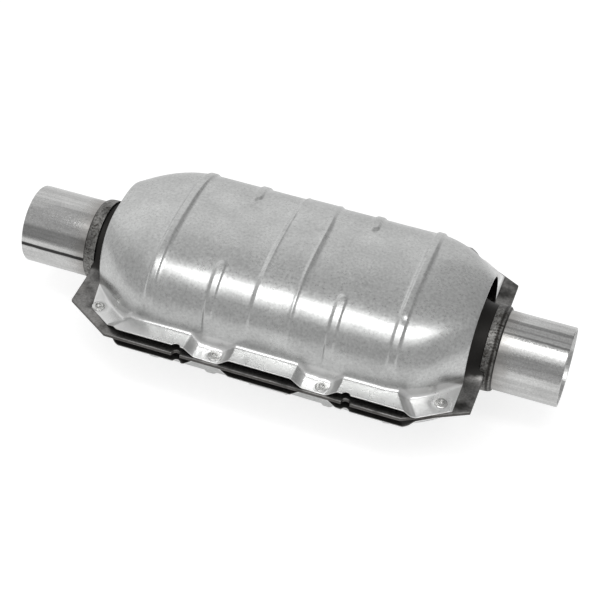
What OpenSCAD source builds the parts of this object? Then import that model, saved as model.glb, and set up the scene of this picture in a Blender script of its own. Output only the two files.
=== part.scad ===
// Oval catalytic converter with two stub pipes and riveted heat shields.
// Millimetres. The origin is on the pipe axis, halfway along the overall
// length. +X runs along the pipes to the outlet, +Z is up, and z = 0 is the
// plane in which the two halves of the body meet.

/* [Pipes] */
// Length over both pipe ends
overall_length = 402; // [360:1:460]
// Outside diameter of the stub pipes
pipe_od = 57.15; // [50:0.05:60]
// Wall of the stub pipes
pipe_wall = 1.6; // [1.2:0.1:2.5]
// Length of pipe held inside the neck
pipe_insertion = 20; // [12:1:26]
// Chamfer on the outer edge of the open pipe ends
pipe_chamfer = 0.5; // [0.2:0.1:0.8]
// How much smaller in radius a pipe is where it is held and welded
pipe_swage = 0.35; // [0.3:0.05:0.5]

/* [Body shell] */
// Sheet thickness of the body halves
shell_t = 1.4; // [1:0.1:2]
// Length of the body over its flange
body_length = 293; // [285:1:310]
// Place of the body's middle along X
body_x = 3; // [-4:0.5:6]
// How far the body flange reaches past the shields' flange on each side
flange_margin = 1.4; // [1:0.1:3]
// Width of the body flange along its end edges
flange_end_w = 132; // [124:1:140]
// Length of the bevelled flange corner at the inlet
inlet_bevel = 35; // [28:1:44]
// Length of the bevelled flange corner at the outlet
outlet_bevel = 42.5; // [30:0.5:46]
// Length of the straight oval part
body_straight = 178; // [172:1:190]
// Length of the round neck behind each flange end
neck_run = 6; // [5:1:8]
// How far the inlet neck ends short of the flange's end
inlet_neck_setback = 1; // [0:0.5:3]
// How far the outlet neck ends short of the flange's end
outlet_neck_setback = 4; // [1:0.5:4]
// Radius of the bend from the side to the flange
shell_bend = 4; // [3:0.5:5]
// Radius of that bend at the neck
neck_bend = 15; // [8:0.5:16]

/* [Heat shield] */
// Sheet thickness of the shields
shield_t = 0.9; // [0.6:0.1:1.2]
// Length of the shields
shield_length = 269.4; // [264:0.2:272]
// Place of the shields' middle along X
shield_x = 3.2; // [2:0.2:6]
// Width over the shield's oval sides
shield_w = 137.4; // [130:0.2:139]
// Height over both shields, without beads
shield_h = 107; // [100:1:116]
// Squareness of the shield's sides, 2 for a true ellipse
side_squareness = 2.5; // [2.2:0.1:3]
// Squareness of the shield's crown
crown_squareness = 3.4; // [2.8:0.1:3.8]
// How far the oval sits towards -Y of the flange
oval_shift = 1.3; // [0:0.1:2]
// Width of the end openings
rim_w = 88; // [85:1:96]
// Height of the end openings, both shields together
rim_h = 92; // [84:1:98]
// Squareness of the end openings
rim_squareness = 2.6; // [2.2:0.1:3]
// Length of the straight part between the rounded ends
shield_straight = 174; // [168:1:180]
// Exponent of the rounded taper, 1 for a straight cone
taper_power = 2; // [1.4:0.1:2.6]
// Air gap between shield and body
air_gap = 5.6; // [4:0.1:7]
// Width of the shield's flange on each side of its oval
shield_flange = 18.6; // [17:0.2:20]
// Length of the cut corners of the shield's flange at the inlet
inlet_corner = 32; // [27:0.5:33]
// Length of the cut corners of the shield's flange at the outlet
outlet_corner = 25; // [20:0.5:27]
// Rise of the corner cut, width lost per unit of length
shield_corner_slope = 0.68; // [0.5:0.01:0.8]
// Set-back of the inlet tabs' outer corner
inlet_tab_skew = 5; // [0:0.5:6]
// How far the foot of the shield's side splays out of the oval
shield_splay = 5.4; // [3:0.2:7]
// Height above the middle plane at which the splay begins
splay_h = 26; // [20:1:40]
// Radius of the bend from the shield's side to its flange
shield_bend = 3; // [2:0.5:4]
// Radius of that bend at the end openings
rim_bend = 1; // [0.8:0.1:2]
// Height of the raised flange stretches above the tabs
flange_lift = 6.2; // [4:0.1:7]
// Length of the slope from a tab to a raised stretch
ramp = 7.5; // [5:0.5:9]
// Length of the flat of the middle tabs
mid_tab_flat = 18; // [16:1:22]
// Length of the inlet tabs beside the shield's side
inlet_tab = 30; // [27:0.5:32]
// Length of the outlet tabs beside the shield's side
outlet_tab = 30; // [27:0.5:32]
// How much nearer the end the folds of an end tab are at the flange edge
fold_slant = 8.5; // [4:0.5:9]

/* [Beads] */
// Width of the pressed beads
bead_w = 8.4; // [5:0.2:10]
// Height of the pressed beads
bead_h = 1.5; // [0.8:0.1:2]
// Height above the flange's bend over which a bead rises from the side
bead_rise = 16; // [8:1:24]
// Place of the middle of the beads along X
beads_x = 4.4; // [2:0.2:6]
// Distance between the two full beads
full_bead_spacing = 175; // [170:1:180]
// Distance between the two side beads
side_bead_spacing = 87.5; // [80:0.5:94]
// Clear width between the ends of the side beads on the crown
side_bead_gap = 67; // [56:0.2:76]
// Place of the middle of that gap across Y
side_bead_y = -4.5; // [-6:0.5:2]
// Length of the raised middle band
band_length = 28.5; // [22:0.5:34]
// Height of the raised middle band
band_h = 1; // [0.4:0.1:1.4]
// Length of the step up to the middle band
band_step = 2.4; // [1.4:0.2:3]

/* [Rivets] */
// Place of the first middle tab along X
mid_tab_1_x = -33.2; // [-36:0.2:-30]
// Place of the second middle tab along X
mid_tab_2_x = 45; // [42:0.2:48]
// How far the rivet of a middle tab is off the tab's middle
mid_rivet_shift = 4; // [0:0.2:4.4]
// Distance from the shield's flange edge to the middle rivets
mid_rivet_inset = 5.9; // [5.5:0.1:7]
// Distance from the shield's end to the inlet rivets
inlet_rivet_setback = 9.1; // [8.8:0.1:11]
// Distance from the shield's end to the outlet rivets
outlet_rivet_setback = 9; // [7.9:0.1:11]
// Distance from the cut corner of the shield's flange to the inlet rivets
inlet_rivet_inset = 5.4; // [4.6:0.1:8]
// Distance from the cut corner of the shield's flange to the outlet rivets
outlet_rivet_inset = 10; // [9:0.1:12]
// Diameter of the rivet shanks
rivet_d = 4.8; // [4:0.1:5.2]
// Diameter of the rivet heads
rivet_head_d = 9; // [7.5:0.1:9.5]
// Height of the domed heads below the lower shield
rivet_head_h = 2.4; // [1.6:0.1:3]
// Height of the rolled collars above the upper shield
rivet_roll_h = 1; // [0.6:0.1:1.4]
// Diameter of the nub in the middle of a collar
rivet_nub_d = 4; // [3:0.1:5]
// Height of the nubs above the upper shield
rivet_nub_h = 2.2; // [1.8:0.1:2.6]
// Height of the worn edge of the nubs
rivet_nub_edge = 0.4; // [0.2:0.1:0.6]
// Clearance around the shanks in their holes
rivet_clearance = 0.1; // [0.05:0.05:0.2]

/* [Notches] */
// Radius of the half-round notches in the flange edges
notch_r = 3; // [2:0.1:3.5]
// Distance of their centres outside the shields' flange edge
notch_set_out = 0.8; // [0.2:0.1:1.6]
// Place of the first notch along X
notch_1_x = -54.7; // [-58:0.1:-52]
// Place of the second notch along X
notch_2_x = 68.2; // [65:0.1:72]

/* [Catalyst] */
// Squareness of the body, the mats and the bricks, 2 for a true ellipse
squareness = 2.9; // [2.4:0.1:3.4]
// Length of each ceramic brick
brick_length = 76; // [60:1:78]
// Distance between the two bricks
brick_spacing = 16; // [12:1:20]
// Thickness of the support mats
mat_t = 5; // [3:0.5:6]
// Axial width of the wire mesh seals
seal_w = 5; // [3:0.5:8]
// Pitch of the drawn gas channels; real ones are about 1.3 mm apart
cell_pitch = 7; // [6:0.5:12]
// Wall between the drawn gas channels
cell_wall = 1.2; // [1:0.1:2]

/* [Welds] */
// Length of the weld beads along the pipe
weld_leg = 9; // [6:0.5:10]
// Height of the weld beads above the pipe
weld_h = 2.6; // [2:0.1:3.4]
// Squareness of the weld beads' section, 2 for a quarter ellipse
weld_squareness = 3; // [2:0.1:4]

/* [Fits] */
// Radial clearance of a pipe in its neck
pipe_clearance = 0.2; // [0.15:0.05:0.3]
// Radial clearance of a weld in the flange it runs through
weld_clearance = 0.4; // [0.3:0.1:0.8]
// Clearance between a brick, its mat and seals, and the shell
mat_clearance = 0.2; // [0.15:0.05:0.3]

/* [Hidden] */
$fn = 64;

// Where things are along X and across Y, worked out from the sizes above.
pipe_r = pipe_od / 2;
half_body = body_length / 2;
held_r = pipe_r - pipe_swage;
neck_r = held_r + pipe_clearance + shell_t;
half_shield = shield_length / 2;
tab_top = shell_t + shield_t;
shield_flange_w = shield_w + 2 * shield_flange;
flange_w = shield_flange_w + 2 * flange_margin;
// Sides of the body's oval, one air gap inside the shield's oval.
shell_a = shield_w / 2 - shield_t - air_gap;
shell_b = shield_h / 2 - shield_t - air_gap;
// Sides of the brick's oval, one mat inside the body's oval.
brick_a = shell_a - shell_t - mat_t - 2 * mat_clearance;
brick_b = shell_b - shell_t - mat_t - 2 * mat_clearance;
rivet_stack = 2 * (shell_t + shield_t);
notch_y = shield_flange_w / 2 + notch_set_out;
// How far a cutting shape runs past what it cuts.
cut_margin = 1;
// Points around half an oval and along the bend at its foot, and rows along
// each rounded shield end and each cone.
oval_steps = 22;
bend_steps = 3;
end_steps = 5;
cone_steps = 8;

function clamp01(v) = min(1, max(0, v));
function smooth01(v) = let (c = clamp01(v)) c * c * (3 - 2 * c);
function signed_pow(v, e) = sign(v) * pow(abs(v), e);

// Sorted stations, with those closer together than "near" merged.
near = 0.6;
function stations(v) = len(v) <= 1 ? v :
  let (p = v[floor(len(v) / 2)])
  concat(stations([for (a = v) if (a < p - near) a]), [p],
         stations([for (a = v) if (a > p + near) a]));

// Point at parameter t on an oval, 0 at the side: cos(t)^2 is |y/a|^n[0] and
// sin(t)^2 is |z/b|^n[1].
function oval_point(a, b, n, t) =
  [a * signed_pow(cos(t), 2 / n[0]), b * signed_pow(sin(t), 2 / n[1])];
// Direction in which the oval faces there, as an angle above the Y axis.
function oval_facing(a, b, n, t) =
  atan2(a / n[0] * pow(cos(t), 2 / n[0] - 1) * sin(t),
        b / n[1] * pow(sin(t), 2 / n[1] - 1) * cos(t));
// Parameter at which a bend that ends flat at height foot leaves the oval.
function bend_start(a, b, n, foot, bend, low = 0, high = 80, tries = 24) =
  let (t = (low + high) / 2)
  tries == 0 ? t :
  oval_point(a, b, n, t)[1] + bend * sin(oval_facing(a, b, n, t)) < foot + bend
    ? bend_start(a, b, n, foot, bend, t, high, tries - 1)
    : bend_start(a, b, n, foot, bend, low, t, tries - 1);

// Half section of a pressed sheet in Y and Z: flange edge, bend, oval, bend,
// flange edge.
function half_section(a, b, n, foot, bend, edge) =
  let (t0 = bend_start(a, b, n, foot, bend),
       oval = [for (i = [0:oval_steps])
         let (t = 180 - t0 - (180 - 2 * t0) * i / oval_steps) oval_point(a, b, n, t)],
       facing = oval_facing(a, b, n, t0),
       side = oval[oval_steps] + bend * [cos(facing), sin(facing)],
       corner = [for (i = [1:bend_steps])
         let (t = facing + (90 - facing) * i / bend_steps)
         side - bend * [cos(t), sin(t)]])
  concat([[-edge, foot]],
         [for (i = [bend_steps - 1:-1:0]) [-corner[i][0], corner[i][1]]],
         oval, corner, [[edge, foot]]);

// A closed sheet between two grids of points, the upper and the lower face.
module pressed_sheet(upper, lower) {
  rows = len(upper);
  cols = len(upper[0]);
  size = rows * cols;
  function at(i, j, face) = face * size + i * cols + j;
  function quad(p, q, r, s) = [[p, q, r], [p, r, s]];
  points = [for (grid = [upper, lower]) for (row = grid) for (p = row) p];
  faces = [
    for (i = [0:rows - 2]) for (j = [0:cols - 2]) each concat(
      quad(at(i, j, 0), at(i + 1, j, 0), at(i + 1, j + 1, 0), at(i, j + 1, 0)),
      quad(at(i, j, 1), at(i, j + 1, 1), at(i + 1, j + 1, 1), at(i + 1, j, 1))),
    for (i = [0:rows - 2]) each concat(
      quad(at(i, 0, 0), at(i, 0, 1), at(i + 1, 0, 1), at(i + 1, 0, 0)),
      quad(at(i, cols - 1, 0), at(i + 1, cols - 1, 0),
           at(i + 1, cols - 1, 1), at(i, cols - 1, 1))),
    for (j = [0:cols - 2]) each concat(
      quad(at(0, j, 0), at(0, j + 1, 0), at(0, j + 1, 1), at(0, j, 1)),
      quad(at(rows - 1, j, 0), at(rows - 1, j, 1),
           at(rows - 1, j + 1, 1), at(rows - 1, j + 1, 0)))];
  polyhedron(points, faces, convexity = 6);
}

// How far x is along the shield's rounded end, 0 at its start, 1 at the rim.
function shield_end(x) =
  clamp01((abs(x - shield_x) - shield_straight / 2) / (half_shield - shield_straight / 2));
// Distance from the shield's middle to the folds of the end tab on x's side.
function end_tab_x(x) = half_shield - (x < shield_x ? inlet_tab : outlet_tab);
// How far the outer end of the flange at station x is moved along X: the folds
// of the end tabs slant outwards, and the inlet tabs' outer corner is set back.
function flange_shift(x) =
  let (d = abs(x - shield_x),
       fold = end_tab_x(x) - ramp,
       slant = fold_slant * smooth01((d - fold) / (2 * ramp) + 1)
               * smooth01((half_shield - d) / (half_shield - end_tab_x(x))))
  x < shield_x ? inlet_tab_skew * pow(shield_end(x), 2) - slant : slant;
// Flange height: 0 on a tab, 1 on a raised stretch.
function lifted(x) =
  min(clamp01((end_tab_x(x) - abs(x - shield_x)) / ramp),
      clamp01((abs(x - mid_tab_1_x) - mid_tab_flat / 2) / ramp),
      clamp01((abs(x - mid_tab_2_x) - mid_tab_flat / 2) / ramp));
// Profile of a pressed bead, 1 on its crest and 0 at its sides.
function bead(d) = abs(d) < bead_w / 2 ? (1 + cos(360 * d / bead_w)) / 2 : 0;
// Height pressed out of the shield at station x, y across.
function pressing(x, y) =
  let (d = abs(x - beads_x),
       full = bead_h * bead(d - full_bead_spacing / 2),
       side = bead_h * bead(d - side_bead_spacing / 2)
              * smooth01((abs(y - side_bead_y) - side_bead_gap / 2) / (bead_w / 2)),
       band = band_h * smooth01((band_length / 2 - d) / band_step + 0.5))
  full + side + band;

// Half width over the shield's flange, less where its corners are cut.
function shield_edge(x) =
  let (corner = x < shield_x ? inlet_corner : outlet_corner)
  shield_flange_w / 2
  - shield_corner_slope * max(0, abs(x - shield_x) - half_shield + corner);

// One row of the shield's upper face (depth 0) or lower face (depth shield_t).
function shield_row(x, depth) =
  let (s = shield_end(x),
       taper = pow(s, taper_power),
       a = (shield_w + (rim_w - shield_w) * taper) / 2 - depth,
       b = (shield_h + (rim_h - shield_h) * taper) / 2 - depth,
       n = [side_squareness + (rim_squareness - side_squareness) * s,
            crown_squareness + (rim_squareness - crown_squareness) * s],
       foot = tab_top + flange_lift * lifted(x) - depth,
       bend = shield_bend + (rim_bend - shield_bend) * taper + depth,
       shift = flange_shift(x),
       edge = shield_edge(x + shift),
       row = half_section(a, b, n, foot, bend, edge),
       last = len(row) - 1)
  [for (i = [0:last])
    let (p = row[i],
         splay = sign(p[0]) * shield_splay * pow(max(0, 1 - p[1] / splay_h), 2),
         grow = pressing(x, p[0]) * smooth01((p[1] - foot - bend) / bead_rise) / norm(p))
    i == 0 || i == last ? [x + shift, p[0], p[1]] :
    [x, p[0] * (1 + grow) + (splay - oval_shift) * (1 - s), p[1] * (1 + grow)]];

shield_stations = stations(concat(
  [for (e = [-1, 1]) for (i = [0:end_steps])
    shield_x + e * (shield_straight / 2
                    + (half_shield - shield_straight / 2) * i / end_steps)],
  [for (e = [-1, 1]) for (i = [-2:2])
    beads_x + e * full_bead_spacing / 2 + i * bead_w / 4],
  [for (e = [-1, 1]) for (i = [-2:2])
    beads_x + e * side_bead_spacing / 2 + i * bead_w / 4],
  [for (e = [-1, 1]) for (i = [-1, 1])
    beads_x + e * band_length / 2 + i * band_step / 2],
  [for (e = [-1, 1]) for (d = [0, ramp]) shield_x + e * (end_tab_x(shield_x + e) - d)],
  [for (c = [mid_tab_1_x, mid_tab_2_x]) for (e = [-1, 1]) for (d = [0, ramp])
    c + e * (mid_tab_flat / 2 + d)]));

// Centres of the rivets on one side of the body.
mid_rivet_y = shield_flange_w / 2 - mid_rivet_inset;
inlet_rivet_x = shield_x - half_shield + inlet_rivet_setback;
outlet_rivet_x = shield_x + half_shield - outlet_rivet_setback;
rivet_places = [
  [inlet_rivet_x, shield_edge(inlet_rivet_x) - inlet_rivet_inset],
  [mid_tab_1_x + mid_rivet_shift, mid_rivet_y],
  [mid_tab_2_x + mid_rivet_shift, mid_rivet_y],
  [outlet_rivet_x, shield_edge(outlet_rivet_x) - outlet_rivet_inset]];

// Rivet holes and notches through the upper flanges.
module flange_cuts() {
  depth = tab_top + flange_lift + 2 * cut_margin;
  for (side = [-1, 1]) {
    for (p = rivet_places)
      translate([p[0], side * p[1], -cut_margin])
        cylinder(d = rivet_d + 2 * rivet_clearance, h = depth);
    for (x = [notch_1_x, notch_2_x])
      translate([x, side * notch_y, -cut_margin]) cylinder(r = notch_r, h = depth);
  }
}

// The shield rests with its tabs on the body flange.
module heat_shield() {
  difference() {
    pressed_sheet([for (x = shield_stations) shield_row(x, 0)],
                  [for (x = shield_stations) shield_row(x, shield_t)]);
    flange_cuts();
  }
}

module upper_heat_shield() {
  color("lightgray") heat_shield();
}

module lower_heat_shield() {
  color("silver") mirror([0, 0, 1]) heat_shield();
}

// How far u, counted from the body's middle, is along the cone: 0 to 1.
function cone_run(u) =
  smooth01((abs(u) - body_straight / 2) / (half_body - neck_run - body_straight / 2));
function flange_edge(u) =
  let (bevel = u < 0 ? inlet_bevel : outlet_bevel,
       cut = max(0, abs(u) - (half_body - bevel)) / bevel)
  (flange_w + (flange_end_w - flange_w) * cut) / 2;

// One row of the body half's upper face (depth 0) or lower face (shell_t).
function shell_row(u, depth) =
  let (s = cone_run(u),
       a = shell_a + (neck_r - shell_a) * s - depth,
       b = shell_b + (neck_r - shell_b) * s - depth,
       n = squareness + (2 - squareness) * s,
       bend = shell_bend + (neck_bend - shell_bend) * s + depth)
  [for (p = half_section(a, b, [n, n], shell_t - depth, bend, flange_edge(u)))
    [body_x + u, p[0], p[1]]];

shell_stations = stations(concat(
  [for (e = [-1, 1]) for (i = [0:cone_steps])
    e * (body_straight / 2
         + (half_body - neck_run - body_straight / 2) * i / cone_steps)],
  [-half_body, inlet_bevel - half_body, half_body - outlet_bevel, half_body]));

// Where each neck ends, along X.
inlet_neck_x = body_x - half_body + inlet_neck_setback;
outlet_neck_x = body_x + half_body - outlet_neck_setback;

// Room for both welds, which start where the necks end.
module neck_cuts() {
  for (end = [[inlet_neck_x, -1], [outlet_neck_x, 1]])
    translate([end[0], 0, 0]) rotate([0, 90 * end[1], 0])
      cylinder(r = pipe_r + weld_h + weld_clearance, h = neck_run);
}

module body_half() {
  difference() {
    pressed_sheet([for (u = shell_stations) shell_row(u, 0)],
                  [for (u = shell_stations) shell_row(u, shell_t)]);
    flange_cuts();
    neck_cuts();
  }
}

module upper_body_shell() {
  color("dimgray") body_half();
}

module lower_body_shell() {
  color("gray") mirror([0, 0, 1]) body_half();
}

// A stub pipe as drawn at the outlet. It is swaged down up to the outer end of
// its weld, its inner end stops inside the neck, and the chamfer at its open
// end is twice as long as deep.
module stub_pipe(neck_end_x) {
  inner_x = neck_end_x - pipe_insertion;
  step_x = neck_end_x + weld_leg;
  outer_x = overall_length / 2;
  rotate([0, 90, 0]) rotate_extrude()
    polygon([[held_r - pipe_wall, inner_x], [held_r, inner_x], [held_r, step_x],
             [pipe_r, step_x], [pipe_r, outer_x - 2 * pipe_chamfer],
             [pipe_r - pipe_chamfer, outer_x], [pipe_r - pipe_wall, outer_x],
             [pipe_r - pipe_wall, step_x], [held_r - pipe_wall, step_x]]);
}

module inlet_pipe() {
  color("darkgray") mirror([1, 0, 0]) stub_pipe(-inlet_neck_x);
}

module outlet_pipe() {
  color("darkgray") stub_pipe(outlet_neck_x);
}

// A fillet weld around the pipe, against the end of the neck.
module weld_ring(neck_end_x) {
  weld_steps = 6;
  rotate([0, 90, 0]) rotate_extrude()
    polygon(concat([[held_r, neck_end_x]],
      [for (i = [0:weld_steps]) let (t = 90 * i / weld_steps)
        [pipe_r + weld_h * signed_pow(cos(t), 2 / weld_squareness),
         neck_end_x + weld_leg * signed_pow(sin(t), 2 / weld_squareness)]],
      [[held_r, neck_end_x + weld_leg]]));
}

module inlet_weld() {
  color("slategray") mirror([1, 0, 0]) weld_ring(-inlet_neck_x);
}

module outlet_weld() {
  color("slategray") weld_ring(outlet_neck_x);
}

// The body's oval in Y and Z, drawn in the plane that is turned to face X.
function oval_loop(a, b) =
  [for (i = [0:2 * oval_steps - 1])
    let (t = 180 * i / oval_steps)
    [b * signed_pow(sin(t), 2 / squareness), a * signed_pow(cos(t), 2 / squareness)]];

module oval_bar(a, b, length) {
  rotate([0, 90, 0]) linear_extrude(length) polygon(oval_loop(a, b));
}

// Centres of the channels that lie whole inside the brick's oval.
channel_reach = (cell_pitch + cell_wall) / 2;
channel_places = [
  for (i = [-floor(brick_a / cell_pitch):floor(brick_a / cell_pitch)])
  for (j = [-floor(brick_b / cell_pitch):floor(brick_b / cell_pitch)])
  let (y = abs(i * cell_pitch) + channel_reach,
       z = abs(j * cell_pitch) + channel_reach)
  if (pow(y / brick_a, squareness) + pow(z / brick_b, squareness) < 1)
  [j * cell_pitch, i * cell_pitch]];

// Oval ceramic block with square gas channels from end to end.
module brick(start_x) {
  translate([body_x + start_x, 0, 0]) rotate([0, 90, 0])
    linear_extrude(brick_length) difference() {
      polygon(oval_loop(brick_a, brick_b));
      for (p = channel_places)
        translate(p) square(cell_pitch - cell_wall, center = true);
    }
}

module inlet_brick() {
  color("tan") brick(-brick_spacing / 2 - brick_length);
}

module outlet_brick() {
  color("tan") brick(brick_spacing / 2);
}

// A sleeve between brick and shell, from start_x over a length.
module sleeve(start_x, length) {
  gap = mat_clearance;
  translate([body_x + start_x, 0, 0]) difference() {
    oval_bar(brick_a + gap + mat_t, brick_b + gap + mat_t, length);
    translate([-cut_margin, 0, 0])
      oval_bar(brick_a + gap, brick_b + gap, length + 2 * cut_margin);
  }
}

module mat(start_x) {
  sleeve(start_x + seal_w, brick_length - 2 * seal_w);
}

module inlet_mat() {
  color("wheat") mat(-brick_spacing / 2 - brick_length);
}

module outlet_mat() {
  color("wheat") mat(brick_spacing / 2);
}

// Mesh rings that guard both ends of a mat.
module mat_seals(start_x) {
  for (x = [start_x, start_x + brick_length - seal_w]) sleeve(x, seal_w);
}

module inlet_mat_seals() {
  color("lightslategray") mat_seals(-brick_spacing / 2 - brick_length);
}

module outlet_mat_seals() {
  color("lightslategray") mat_seals(brick_spacing / 2);
}

// A rivet through both shields and both flanges: a domed head below, a shank,
// and a rolled collar with a raised nub above.
module rivet() {
  dome_steps = 6;
  head_r = rivet_head_d / 2;
  nub_r = rivet_nub_d / 2;
  top = rivet_stack / 2;
  rotate_extrude() polygon(concat(
    [for (i = [0:dome_steps]) let (t = 90 * i / dome_steps)
      [head_r * sin(t), -top - rivet_head_h * cos(t)]],
    [[rivet_d / 2, -top], [rivet_d / 2, top], [head_r, top]],
    [for (i = [1:dome_steps]) let (t = 90 * i / dome_steps)
      [nub_r + (head_r - nub_r) * cos(t), top + rivet_roll_h * sin(t)]],
    [[nub_r, top + rivet_nub_h - rivet_nub_edge], [0, top + rivet_nub_h]]));
}

module rivets(side) {
  for (p = rivet_places) translate([p[0], side * p[1], 0]) rivet();
}

module front_rivets() {
  color("whitesmoke") rivets(-1);
}

module rear_rivets() {
  color("whitesmoke") rivets(1);
}

upper_heat_shield();
lower_heat_shield();
upper_body_shell();
lower_body_shell();
inlet_pipe();
outlet_pipe();
inlet_weld();
outlet_weld();
inlet_brick();
outlet_brick();
inlet_mat();
outlet_mat();
inlet_mat_seals();
outlet_mat_seals();
front_rivets();
rear_rivets();
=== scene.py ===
import math

import bpy
import numpy as np
from mathutils import Matrix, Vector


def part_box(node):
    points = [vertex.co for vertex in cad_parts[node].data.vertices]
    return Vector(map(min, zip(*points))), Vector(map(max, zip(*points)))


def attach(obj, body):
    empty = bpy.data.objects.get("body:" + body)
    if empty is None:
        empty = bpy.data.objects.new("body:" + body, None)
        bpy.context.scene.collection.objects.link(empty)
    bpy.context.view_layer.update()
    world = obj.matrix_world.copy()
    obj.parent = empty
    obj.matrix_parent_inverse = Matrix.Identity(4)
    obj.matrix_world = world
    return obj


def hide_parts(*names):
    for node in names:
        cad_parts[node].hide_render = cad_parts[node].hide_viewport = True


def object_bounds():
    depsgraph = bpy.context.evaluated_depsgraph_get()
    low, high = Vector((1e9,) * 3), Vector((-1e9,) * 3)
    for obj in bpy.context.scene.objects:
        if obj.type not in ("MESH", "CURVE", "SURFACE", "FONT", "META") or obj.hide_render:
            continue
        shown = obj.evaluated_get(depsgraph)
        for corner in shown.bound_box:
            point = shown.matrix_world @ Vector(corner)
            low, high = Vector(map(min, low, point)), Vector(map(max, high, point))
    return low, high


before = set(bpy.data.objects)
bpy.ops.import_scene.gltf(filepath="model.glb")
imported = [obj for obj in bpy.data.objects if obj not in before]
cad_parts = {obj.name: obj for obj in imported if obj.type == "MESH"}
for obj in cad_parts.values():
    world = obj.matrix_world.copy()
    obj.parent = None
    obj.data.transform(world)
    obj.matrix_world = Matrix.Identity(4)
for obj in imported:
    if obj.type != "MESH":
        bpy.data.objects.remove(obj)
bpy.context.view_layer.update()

# Stub pipes. Two lengths of welded steel tube, sized down where the body's
# necks hold them, with the outer edge of each open end broken by a small
# chamfer. They are drawn and sanded along their length.
MM = 0.001
PIPE_WALL = 1.6 * MM
PIPE_STEP = 0.35 * MM
PIPE_CHAMFER = 0.5 * MM
PIPE_BURR = 0.3 * MM
TURN_STEPS = 144

pipe_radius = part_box("outlet_pipe")[1].z
inlet_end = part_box("inlet_pipe")[0].x
inlet_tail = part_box("inlet_pipe")[1].x
outlet_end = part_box("outlet_pipe")[1].x
outlet_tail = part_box("outlet_pipe")[0].x
inlet_weld_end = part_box("inlet_weld")[0].x
outlet_weld_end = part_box("outlet_weld")[1].x


def solid(name, points, quads, crease=38):
    """A closed mesh from points (n, 3) in metres and quads (m, 4), turned to face
    outwards by the sign of its volume, smooth but for edges sharper than crease."""
    corners = points[quads]
    triangles = np.concatenate([corners[:, [0, 1, 2]], corners[:, [0, 2, 3]]])
    volume = np.einsum("ij,ij->", triangles[:, 0], np.cross(triangles[:, 1], triangles[:, 2]))
    if volume < 0:
        quads = quads[:, ::-1]
    mesh = bpy.data.meshes.new(name)
    mesh.vertices.add(len(points))
    mesh.vertices.foreach_set("co", points.astype(np.float32).ravel())
    mesh.loops.add(quads.size)
    mesh.loops.foreach_set("vertex_index", quads.astype(np.int32).ravel())
    mesh.polygons.add(len(quads))
    mesh.polygons.foreach_set("loop_start", np.arange(0, quads.size, 4, dtype=np.int32))
    mesh.polygons.foreach_set("use_smooth", np.ones(len(quads), bool))
    mesh.update(calc_edges=True)
    mesh.set_sharp_from_angle(angle=math.radians(crease))
    piece = bpy.data.objects.new(name, mesh)
    bpy.context.collection.objects.link(piece)
    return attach(piece, "root")


def ring_quads(rows, columns, closed=False):
    """Quads between rings of points, one ring a row. Closed, the last row joins the
    first one too."""
    i, j = np.arange(rows if closed else rows - 1)[:, None], np.arange(columns)[None, :]
    next_i, next_j = (i + 1) % rows, (j + 1) % columns
    return np.stack([i * columns + j, next_i * columns + j,
                     next_i * columns + next_j, i * columns + next_j], -1).reshape(-1, 4)


def turned(profile, steps, ripple=None):
    """Points and quads of a closed profile (k, 2) of x and radius carried round the
    X axis. ripple(angle, k) adds to the radius of profile point k."""
    angle = np.linspace(0, 2 * math.pi, steps, endpoint=False)[:, None]
    along, radius = profile[None, :, 0], profile[None, :, 1]
    if ripple is not None:
        radius = radius + ripple(angle, np.arange(len(profile))[None, :])
    radius = np.broadcast_to(radius, (steps, len(profile)))
    points = np.stack([np.broadcast_to(along, radius.shape),
                       radius * np.sin(angle), radius * np.cos(angle)], -1)
    return points.reshape(-1, 3), ring_quads(steps, len(profile), closed=True)


def pipe_profile(tail, weld_end, mouth):
    """The tube's wall as a closed loop: outside from tail to mouth, a rounded
    chamfer, the end face with its inner edge filed round, and back along the bore."""
    out = math.copysign(1, mouth)
    held, inner = pipe_radius - PIPE_STEP, pipe_radius - PIPE_WALL
    turn = np.radians(np.linspace(0, 90, 5))
    edge = np.stack([mouth - out * 2 * PIPE_CHAMFER * (1 - np.sin(turn)),
                     pipe_radius - PIPE_CHAMFER * (1 - np.cos(turn))], -1)
    burr = np.stack([mouth - out * PIPE_BURR * (1 - np.cos(turn)),
                     inner + PIPE_BURR * (1 - np.sin(turn))], -1)
    body = [(tail, held), (weld_end, held), (weld_end, pipe_radius)]
    bore = [(weld_end, inner), (weld_end, inner - PIPE_STEP), (tail, inner - PIPE_STEP)]
    return np.concatenate([body, edge, burr, bore])


def add(tree, kind, inputs=None, **settings):
    """A new node. Inputs are numbers, colours or sockets by the socket's name."""
    made = tree.nodes.new("ShaderNode" + kind)
    for name, value in settings.items():
        setattr(made, name, value)
    for name, value in (inputs or {}).items():
        if isinstance(value, bpy.types.NodeSocket):
            tree.links.new(value, made.inputs[name])
        else:
            made.inputs[name].default_value = value
    return made


def maths(tree, operation, first, second=0.0, third=0.0):
    """One value worked out from up to three."""
    return add(tree, "Math", {0: first, 1: second, 2: third}, operation=operation).outputs[0]


def gap(tree, value, mark):
    """How far a value is from a mark, whichever side it lies on."""
    return maths(tree, "ABSOLUTE", maths(tree, "SUBTRACT", value, mark))


def ramp(tree, value, low, high, start=0.0, end=1.0):
    """The value taken from low..high to start..end along an S curve."""
    return add(tree, "MapRange", {"Value": value, "From Min": low, "From Max": high,
                                  "To Min": start, "To Max": end},
               interpolation_type="SMOOTHSTEP").outputs[0]


def noise(tree, where, scale, detail=3.0, roughness=0.55):
    """Cloudy noise about 0.5, with features of 1/scale metres."""
    return add(tree, "TexNoise", {"Vector": where, "Scale": scale, "Detail": detail,
                                  "Roughness": roughness}).outputs["Fac"]


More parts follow.
